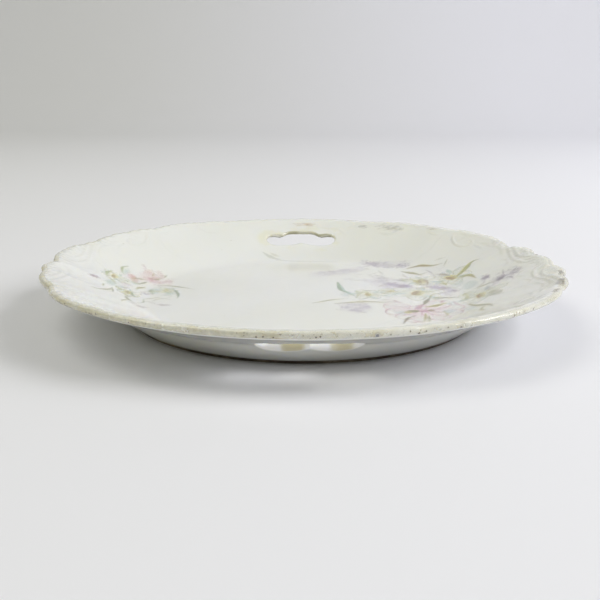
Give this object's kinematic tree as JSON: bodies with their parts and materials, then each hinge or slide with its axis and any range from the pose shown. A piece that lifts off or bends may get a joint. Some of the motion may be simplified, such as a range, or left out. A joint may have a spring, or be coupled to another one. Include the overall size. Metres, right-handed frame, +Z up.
{
  "type": "porcelain serving platter",
  "caption": "Round open-handled porcelain platter with a scalloped rim, pierced finger slots, low foot ring, lustre edge and printed flower sprays.",
  "frame": {"origin": "centre of the foot's tread on the surface it stands on", "axes": "+Z up along the platter's axis; the pierced handles lie on the Y axis, front handle at -Y; the large flower spray is on +X"},
  "size_m": [0.279, 0.2794, 0.0293],
  "materials": {
    "glazed_porcelain": "clear glossy glaze over warm white porcelain, a little yellowed and worn",
    "bare_porcelain": "ground unglazed porcelain, stained brown by use",
    "straw_lustre": "thin straw-coloured lustre, worn through with brown specks",
    "worn_gilding": "burnished gilding worn to tarnished grey and brown patches",
    "flower_transfer": "translucent overglaze flower print in pink, lilac, green and yellow"
  },
  "bodies": {
    "root": {"platter_body": "glazed_porcelain", "foot_ring": "bare_porcelain", "edge_lustre_band": "straw_lustre", "worn_gilding": "worn_gilding", "large_flower_spray": "flower_transfer", "small_flower_spray": "flower_transfer", "trailing_stem": "flower_transfer"}
  },
  "joints": []
}
